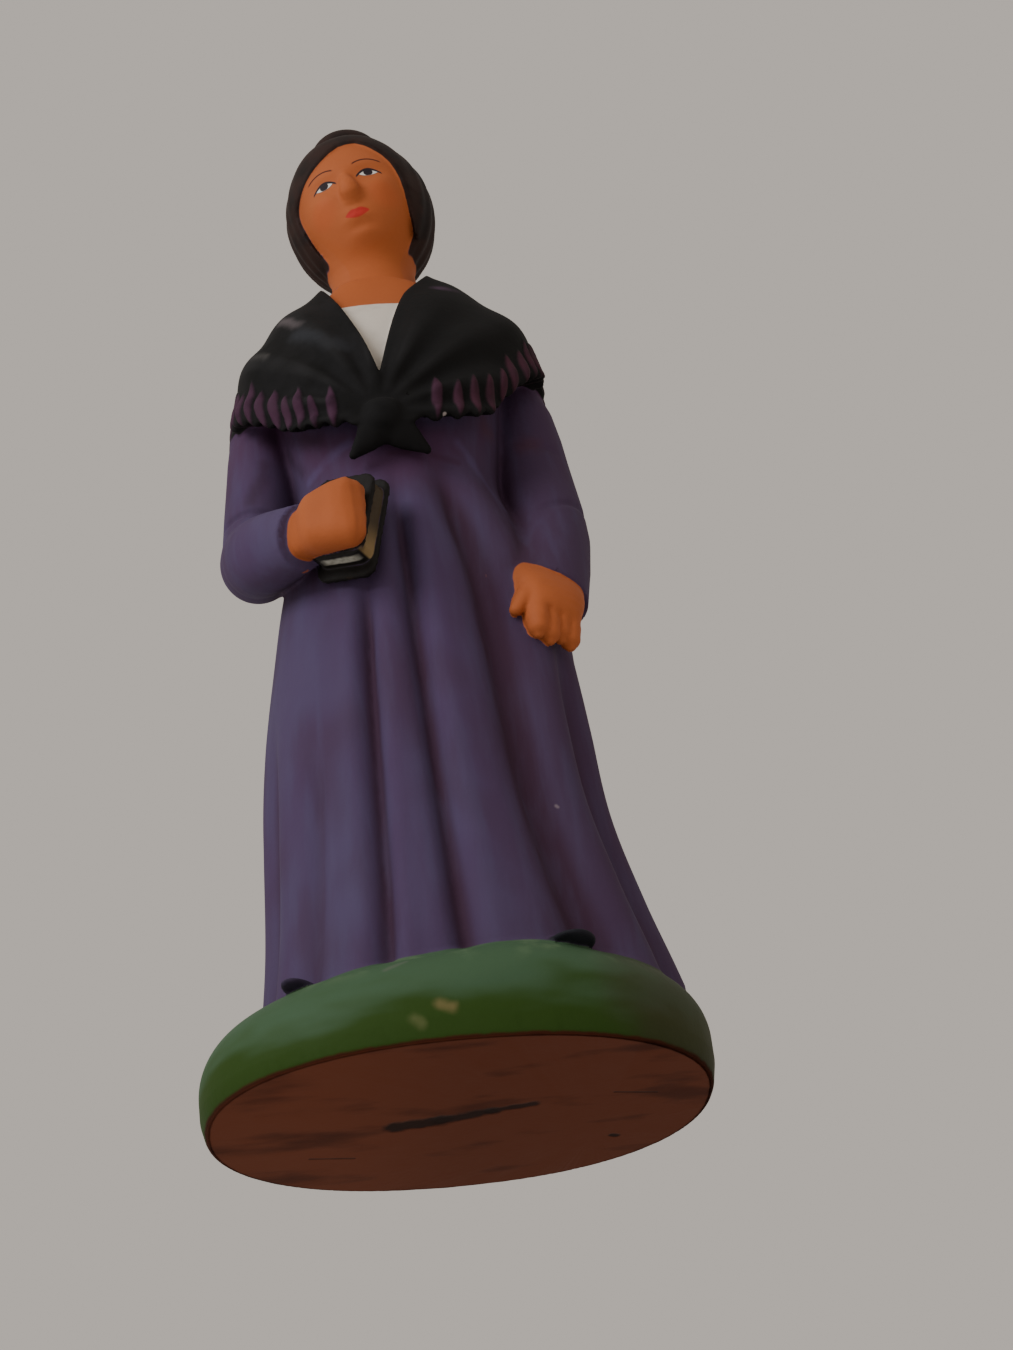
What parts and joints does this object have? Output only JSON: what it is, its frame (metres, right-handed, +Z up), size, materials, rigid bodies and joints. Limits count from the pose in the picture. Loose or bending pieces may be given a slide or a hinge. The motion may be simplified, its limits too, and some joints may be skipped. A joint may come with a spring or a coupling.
{
  "type": "santon figure",
  "caption": "Painted clay figurine of a standing woman in a long gown and fringed shawl, a book in her right hand, moulded in one piece with its oval base.",
  "frame": {"origin": "middle of the flat underside of the base, where it rests", "axes": "+Z up from the base to the topknot, -Y to the figure's front, +X to the figure's left"},
  "size_m": [0.036, 0.029, 0.09],
  "materials": {
    "painted_clay": "matte hand-painted gouache over fired clay, underside unpainted"
  },
  "bodies": {
    "root": {"santon_figure": "painted_clay"}
  },
  "joints": []
}
